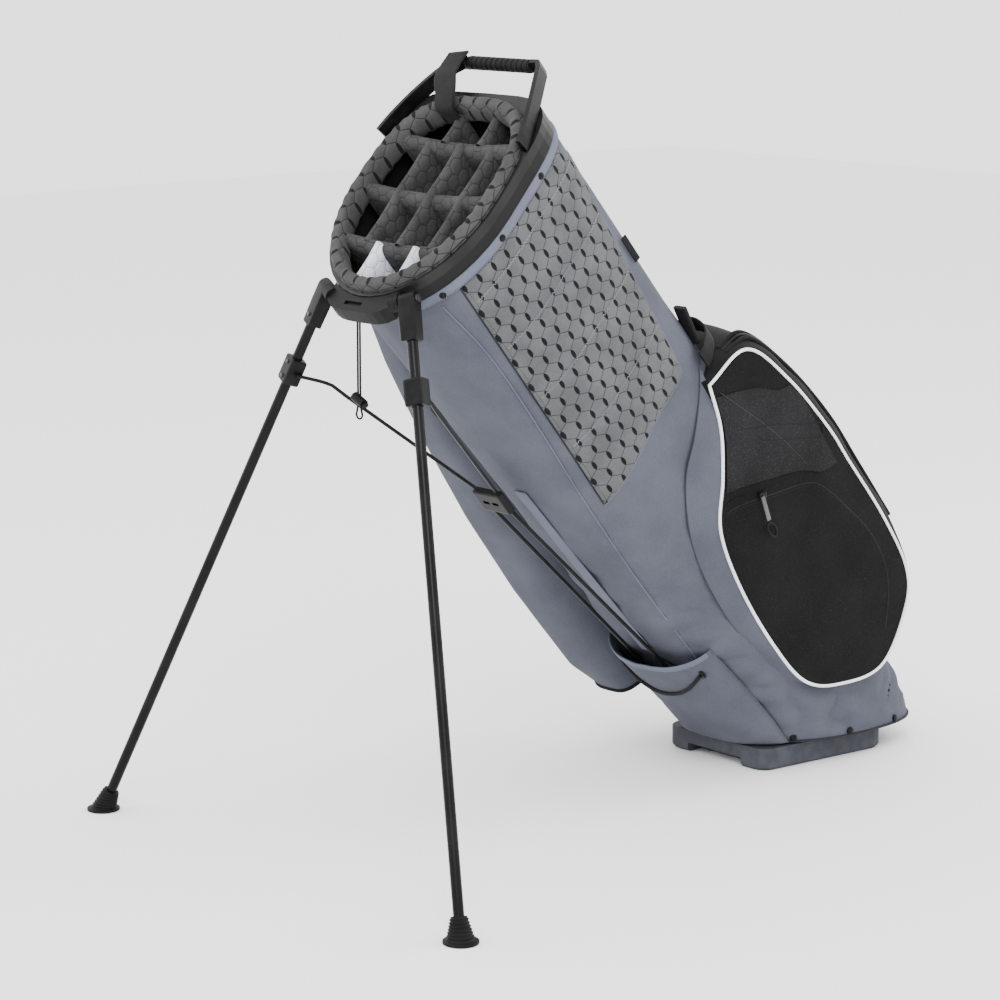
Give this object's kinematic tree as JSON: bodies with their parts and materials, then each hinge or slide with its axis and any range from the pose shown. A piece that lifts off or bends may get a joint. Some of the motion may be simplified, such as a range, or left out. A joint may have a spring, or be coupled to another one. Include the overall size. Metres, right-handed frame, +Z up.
{
  "type": "golf stand bag",
  "caption": "Soft golf bag with a padded divided top, side pockets and carry handle, leaning back on folding legs that a hinged base works through push rods.",
  "frame": {"origin": "on the floor, under the middle of the outline, without the hanging cord", "axes": "+X to the bag's right as seen from its legs, -Y the way the legs reach, +Z up"},
  "size_m": [0.71, 1.0398, 0.921],
  "materials": {
    "slate_fabric": "woven, matt",
    "black_fabric": "fine weave, matt",
    "lining_fabric": "soft lining",
    "white_lining": "soft lining",
    "black_plastic": "moulded, fine grain",
    "grey_plastic": "moulded, fine grain",
    "black_rubber": "moulded, matt",
    "black_tube": "black anodised",
    "black_steel": "black coated steel",
    "black_elastic": "braided elastic",
    "black_webbing": "woven webbing"
  },
  "bodies": {
    "bag": {"ball_pocket": "black_fabric", "base_hinge_pin": "black_steel", "body_shell": "slate_fabric", "collar": "black_plastic", "divider_bar_front": "lining_fabric", "divider_bar_middle": "lining_fabric", "divider_bar_rear": "lining_fabric", "garment_pocket": "slate_fabric", "handle_arm_left": "black_plastic", "handle_arm_right": "black_plastic", "handle_grip": "black_rubber", "handle_webbing": "black_webbing", "lift_handle": "black_webbing", "pivot_pin_left": "black_steel", "pivot_pin_right": "black_steel", "retention_cord": "black_elastic", "rim_pad": "lining_fabric", "rod_sleeve": "slate_fabric", "separator_1_1": "white_lining", "separator_1_2": "white_lining", "separator_2_1": "lining_fabric", "separator_2_2": "lining_fabric", "separator_2_3": "lining_fabric", "separator_3_1": "lining_fabric", "separator_3_2": "lining_fabric", "separator_3_3": "lining_fabric", "separator_4_1": "lining_fabric", "separator_4_2": "lining_fabric", "shock_cord": "black_elastic", "stand_head": "black_plastic", "top_zip_slider": "black_steel"},
    "base": {"base_moulding": "grey_plastic"},
    "leg_right": {"leg_housing_right": "black_plastic", "leg_tube_right": "black_tube", "leg_clamp_right": "black_plastic", "boot_right": "black_rubber"},
    "leg_left": {"leg_housing_left": "black_plastic", "leg_tube_left": "black_tube", "leg_clamp_left": "black_plastic", "boot_left": "black_rubber"},
    "yoke": {"yoke_block": "black_plastic", "push_rod_left": "black_steel", "push_rod_right": "black_steel"},
    "link_right": {"link_rod_right": "black_steel"},
    "link_left": {"link_rod_left": "black_steel"},
    "lock": {"cord_lock_barrel": "black_plastic"},
    "lock_button": {"cord_lock_button": "black_plastic"},
    "front_slider": {"front_zip_slider": "black_steel"},
    "front_pull": {"front_zip_pull": "black_rubber"},
    "top_pull": {"top_zip_pull": "black_rubber"}
  },
  "joints": [
    {"name": "leg_right_fold", "type": "hinge", "parent": "bag", "child": "leg_right", "pos_m": [0.0735, -0.35283, 0.65451], "axis": [0.8979, 0.3372, 0.283], "range_deg": [0, 55.6]},
    {"name": "leg_left_fold", "type": "hinge", "parent": "bag", "child": "leg_left", "pos_m": [-0.0735, -0.35283, 0.65451], "axis": [0.8979, -0.3372, -0.283], "range_deg": [0, 55.61]},
    {"name": "base_tilt", "type": "hinge", "parent": "bag", "child": "base", "pos_m": [0, 0.30486, 0.06], "axis": [1, 0, 0], "range_deg": [0, 40.05]},
    {"name": "yoke_slide", "type": "slide", "parent": "bag", "child": "yoke", "axis": [0, 0.7421, -0.6703], "range_m": [0, 0.0648]},
    {"name": "link_right_swing", "type": "hinge", "parent": "yoke", "child": "link_right", "pos_m": [0.019, -0.17349, 0.40422], "axis": [-0.8511, -0.48, -0.2129], "range_deg": [0, 17.94]},
    {"name": "link_left_swing", "type": "hinge", "parent": "yoke", "child": "link_left", "pos_m": [-0.019, -0.17349, 0.40422], "axis": [-0.8511, 0.48, 0.2129], "range_deg": [0, 17.94]},
    {"name": "cord_lock_slide", "type": "slide", "parent": "bag", "child": "lock", "axis": [0, 0, 1], "range_m": [0, 0.075]},
    {"name": "cord_lock_press", "type": "slide", "parent": "lock", "child": "lock_button", "axis": [-0.9135, 0, 0.4067], "range_m": [0, 0.002], "stiffness_N_per_m": 300},
    {"name": "front_zip_slide", "type": "slide", "parent": "bag", "child": "front_slider", "axis": [0, 0.9968, 0.0795], "range_m": [-0.03, 0.065]},
    {"name": "front_pull_swing", "type": "hinge", "parent": "front_slider", "child": "front_pull", "pos_m": [0.1477, 0.15136, 0.37722], "axis": [0, -0.9623, -0.2722], "range_deg": [0, 150]},
    {"name": "top_pull_swing", "type": "hinge", "parent": "bag", "child": "top_pull", "pos_m": [0.056, 0.13768, 0.54288], "axis": [0.28, -0.7354, -0.6171], "range_deg": [0, 150]}
  ],
  "couplings": [
    {"joint": "leg_left_fold", "follows": "leg_right_fold", "ratio": 1},
    {"joint": "base_tilt", "follows": "leg_right_fold", "ratio": 0.71948},
    {"joint": "yoke_slide", "follows": "leg_right_fold", "m_per_rad": 0.066679},
    {"joint": "link_right_swing", "follows": "leg_right_fold", "ratio": 0.32255},
    {"joint": "link_left_swing", "follows": "leg_right_fold", "ratio": 0.32255}
  ]
}
